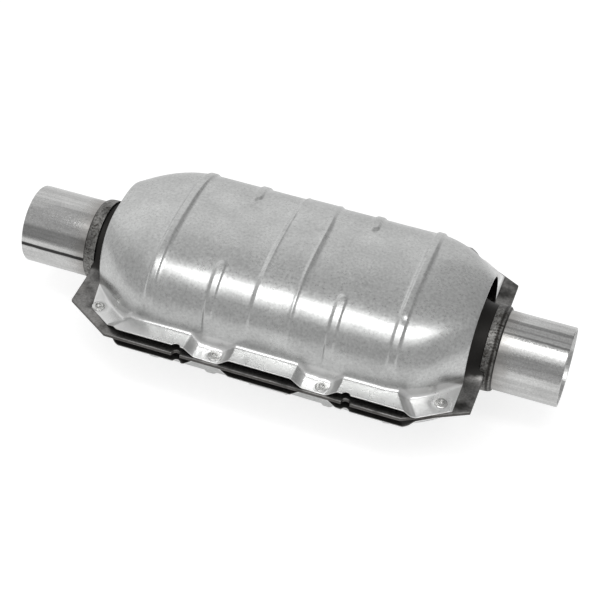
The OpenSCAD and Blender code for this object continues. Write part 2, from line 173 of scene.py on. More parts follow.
def stretched(tree, where, sizes):
    """Coordinates stretched so that a pattern is drawn out along an axis."""
    return add(tree, "Mapping", {"Vector": where, "Scale": sizes}).outputs[0]


def mixed(tree, factor, first, second):
    """A blend of two colours."""
    made = add(tree, "Mix", {"Factor": factor}, data_type="RGBA")
    for socket, value in ((made.inputs[6], first), (made.inputs[7], second)):
        if isinstance(value, bpy.types.NodeSocket):
            tree.links.new(value, socket)
        else:
            socket.default_value = (*value, 1)
    return made.outputs[2]


def scaled(tree, colour, level):
    """A colour made darker or lighter by a level."""
    return add(tree, "VectorMath", {0: colour, 3: level}, operation="SCALE").outputs[0]


def emboss(tree, shader, height, strength, distance):
    """Fine relief: height times distance, in metres, tilts the surface."""
    bump = add(tree, "Bump", {"Height": height, "Strength": strength, "Distance": distance})
    tree.links.new(bump.outputs[0], shader.inputs["Normal"])


def new_group(name, inputs, outputs):
    """An empty node group with float inputs (name: default) and float outputs, and
    its Vector input first."""
    group = bpy.data.node_groups.new(name, "ShaderNodeTree")
    group.interface.new_socket("Vector", in_out="INPUT", socket_type="NodeSocketVector")
    for label, value in inputs.items():
        socket = group.interface.new_socket(label, in_out="INPUT", socket_type="NodeSocketFloat")
        socket.default_value = value
    for label in outputs:
        group.interface.new_socket(label, in_out="OUTPUT", socket_type="NodeSocketFloat")
    return group, group.nodes.new("NodeGroupInput"), group.nodes.new("NodeGroupOutput")


def mottled_metal():
    """Mill finish of steel: clouds a few centimetres wide, a fine mottle of a
    millimetre or two, and short straight rub marks along and across. Tone and Gloss
    vary about 0, and Height about 0.5."""
    group, given, result = new_group(
        "mottled_metal", {"Cloud Size": 0.03, "Mottle Size": 0.0012, "Rub": 0.5},
        ("Tone", "Gloss", "Height"))
    where = given.outputs["Vector"]
    cloud_scale = maths(group, "DIVIDE", 1.0, given.outputs["Cloud Size"])
    mottle_scale = maths(group, "DIVIDE", 1.0, given.outputs["Mottle Size"])
    mottle_height = noise(group, where, mottle_scale, 3.0, 0.62)
    cloud = maths(group, "SUBTRACT", noise(group, where, cloud_scale, 5.0, 0.6), 0.5)
    mottle = maths(group, "SUBTRACT", mottle_height, 0.5)
    along = noise(group, stretched(group, where, (140, 1500, 1500)), 1.0, 2.0)
    across = noise(group, stretched(group, where, (1300, 160, 160)), 1.0, 2.0)
    marks = maths(group, "ADD", ramp(group, along, 0.58, 0.75), ramp(group, across, 0.62, 0.78))
    rubs = maths(group, "MULTIPLY", marks, given.outputs["Rub"])
    tone = maths(group, "MULTIPLY_ADD", cloud, 1.2, maths(group, "MULTIPLY", mottle, 2.2))
    gloss = maths(group, "MULTIPLY_ADD", cloud, -0.8, mottle)
    for label, share, value in (("Tone", 0.25, tone), ("Gloss", 0.3, gloss),
                                ("Height", -0.35, mottle_height)):
        group.links.new(maths(group, "MULTIPLY_ADD", rubs, share, value), result.inputs[label])
    return group


METAL_FINISH = mottled_metal()


def new_material(name):
    """An empty material, its tree, its shader and the place on the piece."""
    material = bpy.data.materials.new(name)
    material.use_nodes = True
    tree = material.node_tree
    return material, tree, tree.nodes["Principled BSDF"], add(tree, "TexCoord").outputs["Object"]


def metal(name, colour, roughness, cloud=0.03, mottle=0.0012, rub=0.5,
          tone_depth=0.25, gloss_depth=0.12, relief=0.15):
    """A bare metal with the mottled finish over it. Returns the material, its tree,
    its shader, the place on the piece, the finished colour and the roughness."""
    material, tree, shader, where = new_material(name)
    shader.inputs["Metallic"].default_value = 1.0
    finish = add(tree, "Group", node_tree=METAL_FINISH)
    tree.links.new(where, finish.inputs["Vector"])
    for label, value in (("Cloud Size", cloud), ("Mottle Size", mottle), ("Rub", rub)):
        finish.inputs[label].default_value = value
    toned = scaled(tree, colour, maths(tree, "MULTIPLY_ADD", finish.outputs["Tone"], tone_depth, 1.0))
    rough = maths(tree, "MULTIPLY_ADD", finish.outputs["Gloss"], gloss_depth, roughness)
    tree.links.new(toned, shader.inputs["Base Color"])
    tree.links.new(rough, shader.inputs["Roughness"])
    emboss(tree, shader, finish.outputs["Height"], relief, 0.0002)
    return material, tree, shader, where, toned, rough


def drawn_tube(name, base, weld_end, dark_reflections):
    """Pipe steel: bright sanded tube with grain drawn along it, dull and darker for some 15 mm beside
    the weld.
    The last argument lists painted reflections: dark lines painted all along the tube where it would
    mirror dark parts of the room, each with its place in degrees from the top towards the front, its
    half width and its darkness."""
    material, tree, shader, where, colour, rough = metal(
        name, (base, base, base * 0.99), 0.2, cloud=0.02, rub=1.0,
        tone_depth=0.34, gloss_depth=0.2, relief=0.14)
    parts = add(tree, "SeparateXYZ", {0: where})
    from_weld = gap(tree, parts.outputs[0], weld_end)
    patchy = maths(tree, "MULTIPLY_ADD", noise(tree, where, 120), 0.012, from_weld)
    heat = ramp(tree, patchy, 0.004, 0.020, 1.0, 0.0)
    tinted = mixed(tree, maths(tree, "MULTIPLY", heat, 0.55), colour, (0.3, 0.28, 0.26))
    frontward = maths(tree, "MULTIPLY", parts.outputs[1], -1.0)
    turn = maths(tree, "ARCTAN2", frontward, parts.outputs[2])
    drawn = noise(tree, stretched(tree, where, (14, 260, 260)), 1.0, 4.0, 0.6)
    kept = ramp(tree, drawn, 0.3, 0.7, 0.86, 1.1)
    wander = maths(tree, "MULTIPLY_ADD", noise(tree, where, 90), 0.04, turn)
    # Painted reflections: each listed line darkens the tube at one place round it, where the tube
    # would mirror a dark part of the room.
    for centre, half_width, darkness in dark_reflections:
        off = gap(tree, wander, math.radians(centre) + 0.02)
        reach = math.radians(half_width)
        near_painted_reflection = ramp(tree, off, 0.6 * reach, 1.3 * reach, 1.0, 0.0)
        kept = maths(tree, "MULTIPLY", kept, maths(tree, "MULTIPLY_ADD", near_painted_reflection, -darkness, 1.0))
    tree.links.new(scaled(tree, tinted, kept), shader.inputs["Base Color"])
    tree.links.new(maths(tree, "MULTIPLY_ADD", heat, 0.18, rough), shader.inputs["Roughness"])
    return material


# Per pipe: label, tail, weld end, mouth, base grey, and the dark lines painted along it as
# reflections of the room (place, half width, darkness).
for label, tail, weld_end, mouth, base, dark_reflections in (
        ("inlet", inlet_tail, inlet_weld_end, inlet_end, 0.53,
         ((82, 3, 0.92), (60, 11, 0.38), (14, 3, 0.15))),
        ("outlet", outlet_tail, outlet_weld_end, outlet_end, 0.55,
         ((-2, 3.5, 0.4), (20, 1.6, 0.5), (11, 1.5, 0.2), (56, 9, 0.18)))):
    pipe = solid(f"{label}_stub_pipe", *turned(pipe_profile(tail, weld_end, mouth), TURN_STEPS))
    pipe.data.materials.append(drawn_tube(f"{label}_pipe_steel", base, weld_end, dark_reflections))
    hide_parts(f"{label}_pipe")

# Body halves. Each is one deep drawing of 1.4 mm stainless sheet: an oval body,
# a cone and a half neck at both ends, and a flat flange all along both sides.
# The lower half is the upper one turned over, and the flanges meet at z = 0.
SHELL_T = 1.4
SHIELD_T = 0.9
AIR_GAP = 5.6
BODY_STRAIGHT = 178
NECK_RUN = 6
SHELL_BEND = 4
NECK_BEND = 15
INLET_BEVEL = 35
OUTLET_BEVEL = 42.5
FLANGE_END_W = 132
SHIELD_W = 137.4
SHIELD_H = 107
SQUARENESS = 2.9
INLET_NECK_SETBACK = 1
OUTLET_NECK_SETBACK = 4
WELD_ROOM_R = 31.6
PIPE_PLAY = 0.2
NOTCH_R = 3
NOTCH_X = (-54.7, 68.2)
NOTCH_SET_OUT = 0.8
SHIELD_FLANGE = 18.6
BODY_ROWS = 210
# Columns of points on one side of the crown, on the bend and on the flange
BODY_COLUMNS = (34, 16, 10)
# Turns at which the rounded cut edge of a sheet has its points
EDGE_TURNS = np.radians([35, 65, 88])

body_low, body_high = (np.array(corner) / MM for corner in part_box("upper_body_shell"))
body_x = (body_low[0] + body_high[0]) / 2
half_body = (body_high[0] - body_low[0]) / 2
flange_w = 2 * body_high[1]
shield_flange_w = SHIELD_W + 2 * SHIELD_FLANGE
shell_a = SHIELD_W / 2 - SHIELD_T - AIR_GAP
shell_b = SHIELD_H / 2 - SHIELD_T - AIR_GAP
neck_r = (pipe_radius - PIPE_STEP) / MM + PIPE_PLAY + SHELL_T


def eased(value):
    """0 to 1 along an S curve."""
    value = np.clip(value, 0, 1)
    return value * value * (3 - 2 * value)


def stations(start, end, count, places, reach=2.0, gain=4.0):
    """count places from start to end, up to 1 + gain times closer together near each
    of the given places, where the sheet bends sharply."""
    fine = np.linspace(start, end, 6000)
    near = np.min(np.abs(fine[:, None] - np.array(places)[None, :]), axis=1)
    density = np.cumsum(1 + gain * np.exp(-(near / reach) ** 2))
    density = (density - density[0]) / (density[-1] - density[0])
    return np.interp(np.linspace(0, 1, count), density, fine)


def oval(a, b, n, t):
    """Point at the parameter t of an oval on which cos(t)^2 is (y/a)^n[0] and
    sin(t)^2 is (z/b)^n[1], and the way it faces."""
    n_y, n_z = n[..., :1], n[..., 1:]
    y, z = a * np.cos(t) ** (2 / n_y), b * np.sin(t) ** (2 / n_z)
    facing = np.arctan2(a / n_y * np.cos(t) ** (2 / n_y - 1) * np.sin(t),
                        b / n_z * np.sin(t) ** (2 / n_z - 1) * np.cos(t))
    return y, z, facing


def half_section(a, b, n, foot, bend, edge, crown_columns, bend_columns, flange_columns):
    """One side of a pressed section for each row: from the crown down the oval,
    round a bend of radius bend that touches it, and out along the flange at the
    height foot to edge. Returns y, z and the direction faced, (rows, columns)."""
    a, b, foot, bend, edge = (np.asarray(v, float)[:, None] for v in (a, b, foot, bend, edge))
    # where the bend touches the oval, found by halving the range it can lie in
    low, high = np.zeros_like(a), np.full_like(a, math.radians(80))
    for _ in range(40):
        middle = (low + high) / 2
        _, z, facing = oval(a, b, n, middle)
        under = z + bend * np.sin(facing) < foot + bend
        low, high = np.where(under, middle, low), np.where(under, high, middle)
    # columns an even arc apart on the middle section
    crown = math.radians(89.9)
    t = np.linspace(crown, math.radians(4), 900)
    y, z, _ = oval(a[len(a) // 2], b[len(b) // 2], n[len(n) // 2], t)
    arc = np.concatenate([[0], np.cumsum(np.hypot(np.diff(y), np.diff(z)))])
    share = np.interp(np.linspace(0, arc[-1], crown_columns), arc, np.linspace(0, 1, len(t)))
    t = crown + (low - crown) * share[None, :]
    y, z, facing = oval(a, b, n, t)
    start = facing[:, -1:]
    centre_y, centre_z = y[:, -1:] + bend * np.cos(start), z[:, -1:] + bend * np.sin(start)
    turn = start + (math.pi / 2 - start) * np.linspace(0, 1, bend_columns + 1)[None, 1:]
    bend_y, bend_z = centre_y - bend * np.cos(turn), centre_z - bend * np.sin(turn)
    out = np.linspace(0, 1, flange_columns + 1)[None, 1:]
    flat_y = bend_y[:, -1:] + (edge - bend_y[:, -1:]) * out
    flat_z = np.broadcast_to(foot, flat_y.shape)
    up = np.full(flat_y.shape, math.pi / 2)
    return (np.concatenate([y, bend_y, flat_y], 1), np.concatenate([z, bend_z, flat_z], 1),
            np.concatenate([facing, turn, up], 1))


def both_sides(y, z, facing):
    """The whole section from its +Y half: the other half is its mirror image."""
    return (np.concatenate([-y[:, :0:-1], y], 1), np.concatenate([z[:, :0:-1], z], 1),
            np.concatenate([math.pi - facing[:, :0:-1], facing], 1))


def notched(edge, x):
    """The flange's half width, less the half-round notches in its edge."""
    centre = shield_flange_w / 2 + NOTCH_SET_OUT
    for place in NOTCH_X:
        inside = np.clip(NOTCH_R ** 2 - (x - place) ** 2, 0, None)
        edge = np.where(inside > 0, np.minimum(edge, centre - np.sqrt(inside)), edge)
    return edge


def capped(rows, columns):
    """Quads of a grid of rings, one a row and each of an even number of points. Its
    first and last ring are closed by a strip of quads from one side to the other."""
    half = columns // 2
    caps = []
    for row in (0, rows - 1):
        ring = row * columns + np.arange(columns)
        caps.append(np.stack([ring[:half - 1], ring[1:half], ring[-2:half - 1:-1],
                              ring[:half:-1]], -1))
    caps[1] = caps[1][:, ::-1]
    return np.concatenate([ring_quads(rows, columns), *caps])


def plate(name, outer, inner, crease=50):
    """A closed sheet between an outer and an inner face, each (rows, columns, 3) in
    millimetres, with its cut edges rounded over half its thickness."""
    middle, half = (outer + inner) / 2, (outer - inner) / 2
    for axis in (1, 0):
        middle, half = np.swapaxes(middle, 0, axis), np.swapaxes(half, 0, axis)
        for end in (0, -1):
            beside = 1 if end == 0 else -2
            outward = middle[end] - middle[beside]
            outward /= np.linalg.norm(outward, axis=-1, keepdims=True)
            thickness = np.linalg.norm(half[end], axis=-1, keepdims=True)
            edge = middle[end] - outward * thickness
            extra_middle = [edge + outward * thickness * math.sin(turn) for turn in EDGE_TURNS]
            extra_half = [half[end] * math.cos(turn) for turn in EDGE_TURNS]
            middle = middle.copy()
            middle[end] = edge
            if end == 0:
                middle = np.concatenate([extra_middle[::-1], middle])
                half = np.concatenate([extra_half[::-1], half])
            else:
                middle = np.concatenate([middle, extra_middle])
                half = np.concatenate([half, extra_half])
        middle, half = np.swapaxes(middle, 0, axis), np.swapaxes(half, 0, axis)
    rows, columns = middle.shape[:2]
    loop = np.concatenate([middle + half, (middle - half)[:, ::-1]], 1)
    return solid(name, loop.reshape(-1, 3) * MM, capped(rows, 2 * columns), crease)


def body_face(u, depth):
    """The body half's outer face (depth 0) or inner face (depth SHELL_T), at places u
    along it from its middle: the oval runs into the round neck along an S curve, and
    the flange reaches past the end of the neck."""
    run = eased((np.abs(u) - BODY_STRAIGHT / 2) / (half_body - NECK_RUN - BODY_STRAIGHT / 2))
    bevel = np.where(u < 0, INLET_BEVEL, OUTLET_BEVEL)
    setback = np.where(u < 0, -INLET_NECK_SETBACK, OUTLET_NECK_SETBACK)
    past_neck = setback * eased((np.abs(u) - half_body + np.abs(setback)) / NECK_RUN + 1)
    cut = np.clip(np.abs(u + past_neck) - (half_body - bevel), 0, None) / bevel
    edge = notched((flange_w + (FLANGE_END_W - flange_w) * cut) / 2, body_x + u)
    squareness = (SQUARENESS + (2 - SQUARENESS) * run)[:, None]
    y, z, _ = both_sides(*half_section(
        shell_a + (neck_r - shell_a) * run - depth, shell_b + (neck_r - shell_b) * run - depth,
        np.concatenate([squareness, squareness], 1), np.full_like(u, SHELL_T - depth),
        SHELL_BEND + (NECK_BEND - SHELL_BEND) * run + depth, edge, *BODY_COLUMNS))
    clear = np.hypot(y, z)[[0, -1]] > WELD_ROOM_R - depth / 2
    clear = np.where(u[:, None] < 0, clear[:1], clear[1:])
    x = (body_x + u)[:, None] + past_neck[:, None] * clear
    return np.stack([x, y, z], -1)


def stainless(name):
    """Body steel: a dull, darker stainless with faint brown heat tint in clouds, near black in
    patches wherever it rises above its flange, on the necks and under the shield, partly heat tint
    and partly painted shade, and dark on the flange's cut edges."""
    material, tree, shader, where, colour, rough = metal(
        name, (0.27, 0.266, 0.26), 0.4, mottle=0.0014, rub=0.8,
        tone_depth=0.7, gloss_depth=0.25, relief=0.25)
    tint = ramp(tree, noise(tree, where, 22), 0.45, 0.75)
    tinted = mixed(tree, maths(tree, "MULTIPLY", tint, 0.4), colour, (0.17, 0.155, 0.14))
    parts = add(tree, "SeparateXYZ", {0: where})
    # Partly heat tint, partly painted shade: above the flange the shell goes near black in patches,
    # standing in for the shade inside the shield and at the necks.
    height = maths(tree, "ABSOLUTE", parts.outputs[2])
    patchy = maths(tree, "MULTIPLY_ADD", noise(tree, where, 60), 0.012, height)
    neck = ramp(tree, patchy, 0.0065, 0.0105)
    heat_tint_and_painted_shade = mixed(tree, maths(tree, "MULTIPLY", neck, 0.94), tinted, (0.022, 0.021, 0.02))
    edge = ramp(tree, height, 0.0009, 0.0013, 1.0, 0.0)
    tree.links.new(mixed(tree, maths(tree, "MULTIPLY", edge, 0.6), heat_tint_and_painted_shade, (0.08, 0.075, 0.07)),
                   shader.inputs["Base Color"])
    tree.links.new(maths(tree, "MULTIPLY_ADD", neck, 0.15, rough), shader.inputs["Roughness"])
    return material


body_u = stations(INLET_NECK_SETBACK - half_body, half_body - OUTLET_NECK_SETBACK, BODY_ROWS,
                  [-half_body, half_body, -half_body + INLET_BEVEL, half_body - OUTLET_BEVEL,
                   *(x - body_x + d for x in NOTCH_X for d in (-NOTCH_R, 0, NOTCH_R))], reach=2.5)
body_outer, body_inner = body_face(body_u, 0), body_face(body_u, SHELL_T)
body_steel = stainless("stainless_sheet")
for label, flip in (("upper", (1, 1, 1)), ("lower", (1, 1, -1))):
    half = plate(f"{label}_body_half", body_outer * flip, body_inner * flip)
    half.data.materials.append(body_steel)
    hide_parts(f"{label}_body_shell")

# Weld rings. One pass of filler wire all round each pipe, against the end of the
# neck: a rounded ridge with overlapping ripples and slow lumps, left as welded,
# dull grey and specked with slag.
WELD_HEIGHT = 2.6 * MM
WELD_STEPS = 540
CROWN_STEPS = 12
RIPPLE_PITCH = 2.1 * MM
RIPPLE_HEIGHT = 0.22 * MM
LUMP_HEIGHT = 0.055 * MM
WELD_SUNK = 0.25 * MM

weld_seed = np.random.default_rng(7)
lump_phase = weld_seed.uniform(0, 2 * math.pi, (12,))
lump_size = weld_seed.uniform(0.3, 1.0, (12,))


def weld_profile(root, end):
    """A closed loop: the underside on the pipe, and a full, rounded crown."""
    turn = np.radians(np.linspace(0, 90, CROWN_STEPS + 1))
    crown = np.stack([root + (end - root) * np.sin(turn) ** (2 / 3),
                      pipe_radius + WELD_HEIGHT * np.clip(np.cos(turn), 0, 1) ** (2 / 3)], -1)
    held = pipe_radius - PIPE_STEP
    return np.concatenate([[(root, held)], crown, [(end, held)]])


def weld_ripple(angle, k):
    """Ripples RIPPLE_PITCH apart that lag behind towards the edges of the bead, and
    slow lumps, both small at the bead's edges and nought on the underside."""
    across = np.clip((k - 1) / CROWN_STEPS, 0, 1)
    fade = np.sin(math.pi * np.clip(across, 0.04, 0.96)) ** 0.7
    fade = np.where((k == 0) | (k == CROWN_STEPS + 2), 0, fade)
    lag = 0.9 * (across - 0.5) ** 2
    turns = round(2 * math.pi * pipe_radius / RIPPLE_PITCH)
    phase = turns * (angle + lag * 0.15)
    ripple = RIPPLE_HEIGHT * np.abs(np.sin(phase / 2 + 0.6 * np.sin(3 * angle)))
    lumps = sum(size * np.sin((i + 3) * angle + start + 2 * across)
                for i, (size, start) in enumerate(zip(lump_size, lump_phase)))
    return fade * (ripple + LUMP_HEIGHT * lumps - WELD_SUNK)


def weld_metal():
    """As-welded filler: dull grey, darker in clouds of soot, specked with slag, and with painted
    shade in the hollow at its toe: a near-black line where it meets the pipe.
    """
    material, tree, shader, where, colour, rough = metal(
        "weld_metal", (0.2, 0.197, 0.19), 0.42, cloud=0.012, mottle=0.0016, rub=0.2,
        tone_depth=1.3, gloss_depth=0.4, relief=1.0)
    slag = ramp(tree, noise(tree, where, 520, 2.0), 0.58, 0.66)
    soot = ramp(tree, noise(tree, where, 130, 3.0), 0.48, 0.7)
    sooted = mixed(tree, maths(tree, "MULTIPLY", soot, 0.65), colour, (0.07, 0.065, 0.06))
    specked = mixed(tree, maths(tree, "MULTIPLY", slag, 0.8), sooted, (0.04, 0.036, 0.03))
    # Painted shade: a near-black line along the weld's toe, within about 1.5 mm of its end against
    # the pipe.
    along = maths(tree, "ABSOLUTE", add(tree, "SeparateXYZ", {0: where}).outputs[0])
    to_end = maths(tree, "MINIMUM", gap(tree, along, abs(inlet_weld_end)),
                   gap(tree, along, abs(outlet_weld_end)))
    foot = ramp(tree, to_end, 0.0003, 0.0016, 1.0, 0.0)
    tree.links.new(mixed(tree, maths(tree, "MULTIPLY", foot, 0.85), specked, (0.02, 0.018, 0.016)),
                   shader.inputs["Base Color"])
    tree.links.new(maths(tree, "MULTIPLY_ADD", soot, 0.2, rough), shader.inputs["Roughness"])
    return material


weld_finish = weld_metal()
for label, root, end in (("inlet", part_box("inlet_weld")[1].x, inlet_weld_end),
                         ("outlet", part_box("outlet_weld")[0].x, outlet_weld_end)):
    ring = solid(f"{label}_weld_ring", *turned(weld_profile(root, end), WELD_STEPS, weld_ripple),
                 crease=70)
    ring.data.materials.append(weld_finish)
    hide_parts(f"{label}_weld")

# Catalyst bricks. Extruded ceramic honeycombs in an oval skin, with square
# channels 1.27 mm apart, coated in a beige wash. Each brick shows its outer end,
# where the channels are drawn a good way in.
CELL_PITCH = 1.27
CELL_WALL = 0.2
CELL_DEPTH = 22
CELL_SUNK = 0.1
CELL_CLEAR = 0.05
CELL_SETBACKS = (0.02, 0.04)
BRICK_SKIN = 1.2
BRICK_STEPS = 120


def box_quads(count):
    """Quads of count boxes, each with its eight corners in x, y, z order."""
    faces = np.array([(0, 1, 3, 2), (4, 6, 7, 5), (0, 4, 5, 1),
                      (2, 3, 7, 6), (0, 2, 6, 4), (1, 5, 7, 3)])
    return (faces[None] + 8 * np.arange(count)[:, None, None]).reshape(-1, 4)


def boxes(low, high):
    """Corners of boxes from their lowest and highest corners, (n, 3) each."""
    bits = np.array([(i, j, k) for i in (0, 1) for j in (0, 1) for k in (0, 1)])
    return np.where(bits[None] == 1, high[:, None], low[:, None]).reshape(-1, 3)


def brick(name, face_x, back_x, half_y, half_z):
    """An oval cup whose floor lies CELL_DEPTH behind the face, and crossed slabs
    CELL_WALL thick that fill it, each let into the skin by CELL_SUNK. Those of the
    two ways are set back a little differently, so that their ends don't coincide."""
    inward = math.copysign(1, back_x - face_x)
    angle = np.linspace(0, 2 * math.pi, BRICK_STEPS, endpoint=False)
    loop_y = np.sign(np.cos(angle)) * np.abs(np.cos(angle)) ** (2 / SQUARENESS)
    loop_z = np.sign(np.sin(angle)) * np.abs(np.sin(angle)) ** (2 / SQUARENESS)
    inner_y, inner_z = half_y - BRICK_SKIN, half_z - BRICK_SKIN
    floor_x = face_x + inward * CELL_DEPTH
    rings = [(back_x, half_y, half_z), (face_x, half_y, half_z),
             (face_x, inner_y, inner_z), (floor_x, inner_y, inner_z)]
    cup = np.stack([np.stack([np.full(BRICK_STEPS, x), y * loop_y, z * loop_z], -1)
                    for x, y, z in rings])
    quads = capped(len(rings), BRICK_STEPS)
    if inward < 0:
        quads = quads[:, ::-1]
    low, high = [], []
    for across, along, reach, span, setback in (
            (1, 2, inner_y, inner_z, CELL_SETBACKS[0]), (2, 1, inner_z, inner_y, CELL_SETBACKS[1])):
        count = int(reach / CELL_PITCH)
        places = np.arange(-count, count + 1) * CELL_PITCH
        length = span * (1 - np.abs(places / reach) ** SQUARENESS) ** (1 / SQUARENESS)
        slab_low, slab_high = np.zeros((len(places), 3)), np.zeros((len(places), 3))
        ends = sorted((face_x + inward * setback, floor_x - inward * CELL_CLEAR))
        slab_low[:, 0], slab_high[:, 0] = ends
        slab_low[:, across], slab_high[:, across] = places - CELL_WALL / 2, places + CELL_WALL / 2
        slab_low[:, along], slab_high[:, along] = -length - CELL_SUNK, length + CELL_SUNK
        low.append(slab_low)
        high.append(slab_high)
    low, high = np.concatenate(low), np.concatenate(high)
    points = np.concatenate([cup.reshape(-1, 3), boxes(low, high)])
    quads = np.concatenate([quads, box_quads(len(low)) + cup.shape[0] * BRICK_STEPS])
    return solid(name, points * MM, quads, crease=30)


def washcoat():
    """Coated ceramic: matte beige with paler dust and darker clouds."""
    material, tree, shader, where = new_material("washcoated_ceramic")
    dust = ramp(tree, noise(tree, where, 60, 4.0), 0.35, 0.7)
    rough = ramp(tree, noise(tree, where, 300), 0.3, 0.7, 0.8, 0.95)
    tree.links.new(mixed(tree, dust, (0.40, 0.33, 0.24), (0.56, 0.49, 0.38)),
                   shader.inputs["Base Color"])
    tree.links.new(rough, shader.inputs["Roughness"])
    emboss(tree, shader, noise(tree, where, 1500, 2.0), 0.4, 0.0001)
    return material


ceramic = washcoat()
for label in ("inlet", "outlet"):
    low, high = (np.array(corner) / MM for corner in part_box(f"{label}_brick"))
    face_x, back_x = (low[0], high[0]) if label == "inlet" else (high[0], low[0])
    block = brick(f"{label}_honeycomb", face_x, back_x, high[1], high[2])
    block.data.materials.append(ceramic)
    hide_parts(f"{label}_brick")

# Support mats and their end seals. A mat of ceramic fibre and vermiculite is
# wrapped round each brick and squeezed by the body, and a ring of knitted wire
# guards each end of it. Only their ends can be seen, past the bricks.
def fibre_mat():
    """Pale pressed fibre with darker mica flecks."""
    material, tree, shader, where = new_material("fibre_mat")
    fibres = noise(tree, stretched(tree, where, (300, 1500, 1500)), 1.0, 4.0)
    flecks = ramp(tree, noise(tree, where, 500, 1.0), 0.6, 0.66)
    tree.links.new(mixed(tree, flecks, (0.72, 0.66, 0.52), (0.33, 0.27, 0.17)),
                   shader.inputs["Base Color"])
    tree.links.new(ramp(tree, fibres, 0.3, 0.7, 0.85, 1.0), shader.inputs["Roughness"])
    emboss(tree, shader, fibres, 0.7, 0.0004)
    return material


def knitted_wire():
    """Grey wire mesh: crossed waves of fine wire give its height, and painted shade where the waves
    are low, between the wires.
    """
    material, tree, shader, where, colour, _ = metal(
        "knitted_wire", (0.4, 0.39, 0.37), 0.4, cloud=0.01, mottle=0.0006, relief=0.3)
    waves = [add(tree, "TexWave", {"Vector": where, "Scale": scale, "Distortion": 3.0},
                 bands_direction=way).outputs["Fac"]
             for way, scale in (("X", 420), ("DIAGONAL", 300))]
    height = maths(tree, "MULTIPLY", *waves)
    # Painted shade: the colour goes dark where the waves are low, between the wires.
    tree.links.new(mixed(tree, height, (0.1, 0.1, 0.1), colour), shader.inputs["Base Color"])
    emboss(tree, shader, height, 0.8, 0.0006)
    return material


def finish_node(node, material):
    """Gives a kept CAD node its finish."""
    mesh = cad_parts[node].data
    mesh.materials.clear()
    mesh.materials.append(material)


mat_finish, seal_finish = fibre_mat(), knitted_wire()
for label in ("inlet", "outlet"):
    finish_node(f"{label}_mat", mat_finish)
    finish_node(f"{label}_mat_seals", seal_finish)

# Heat shields. Thin aluminised steel sheets, pressed to an oval a little larger
# than the body, with beads and a raised middle band. Riveted tabs of the flange lie
# on the body's flange, and the stretches between them are lifted to let air through.
SHIELD_STRAIGHT = 174
RIM_W = 88
RIM_H = 92
RIM_SQUARENESS = 2.6
SIDE_SQUARENESS = 2.5
CROWN_SQUARENESS = 3.4
OVAL_SHIFT = 1.3
REAR_DRAWN_IN = 2.2
DRAWN_IN_X = (72, 114)
DRAWN_IN_RUNS = (14, 10)
TAPER_POWER = 2
SHIELD_BEND = 3
RIM_BEND = 1
SPLAY = 5.4
SPLAY_H = 26
FLANGE_LIFT = 6.2
RAMP = 7.5
RAMP_SOFTNESS = 0.008
MID_TAB_FLAT = 18
MID_TAB_X = (-33.2, 45)
END_TAB = 30
FOLD_SLANT = 8.5
INLET_CORNER = 32
OUTLET_CORNER = 25
CORNER_SLOPE = 0.68
INLET_TAB_SKEW = 5
BEADS_X = 4.4
BEAD_W = 8.4
BEAD_H = 1.3
BEAD_RISE = 24
BEAD_FLANK = 0.28
FULL_BEAD_SPACING = 175
SIDE_BEAD_SPACING = 87.5
SIDE_BEAD_GAP = 67
SIDE_BEAD_Y = -4.5
BAND_LENGTH = 28.5
BAND_H = 1.0
BAND_STEP = 2.4
RIDGE_W = 3.6
RIDGE_H = 0.35
# Where the beads start to lean as they run to the rear, how far on they are at
# their full lean, and that lean towards the inlet
LEAN_Y = 15
LEAN_RUN = 35
FULL_BEAD_LEANS = (0, 1.0)
SIDE_BEAD_LEAN = 2.4
BAND_LEANS = (0, 2.4)
MID_RIVET_SHIFT = 4
MID_RIVET_INSET = 5.9
INLET_RIVET_SETBACK = 9.1
OUTLET_RIVET_SETBACK = 9
INLET_RIVET_INSET = 5.4
OUTLET_RIVET_INSET = 10
TAB_TOP = SHELL_T + SHIELD_T
WAVE_LENGTHS = (40, 110)
WAVE_HEIGHT = 0.035
MOAT_R = 6.2
MOAT_W = 1.4
MOAT_DEPTH = 0.35
SHIELD_ROWS = 292
CROWN_COLUMNS = 58
BEND_COLUMNS = 7
FLANGE_COLUMNS = 9

shield_low, shield_high = (np.array(corner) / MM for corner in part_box("upper_heat_shield"))
shield_x = (shield_low[0] + shield_high[0]) / 2
half_shield = (shield_high[0] - shield_low[0]) / 2


def shield_edge(x):
    """Half width over the flange, less where its corners are cut."""
    corner = np.where(x < shield_x, INLET_CORNER, OUTLET_CORNER)
    past = np.clip(np.abs(x - shield_x) - half_shield + corner, 0, None)
    return shield_flange_w / 2 - CORNER_SLOPE * past


mid_rivet_y = shield_flange_w / 2 - MID_RIVET_INSET
inlet_rivet_x = shield_x - half_shield + INLET_RIVET_SETBACK
outlet_rivet_x = shield_x + half_shield - OUTLET_RIVET_SETBACK
rivet_places = [(inlet_rivet_x, float(shield_edge(inlet_rivet_x)) - INLET_RIVET_INSET),
                (MID_TAB_X[0] + MID_RIVET_SHIFT, mid_rivet_y),
                (MID_TAB_X[1] + MID_RIVET_SHIFT, mid_rivet_y),
                (outlet_rivet_x, float(shield_edge(outlet_rivet_x)) - OUTLET_RIVET_INSET)]


def bead(distance, width):
    """A pressed bead's profile, 1 on its crest, with flanks BEAD_FLANK of its width."""
    return eased((width / 2 - np.abs(distance)) / (BEAD_FLANK * width))


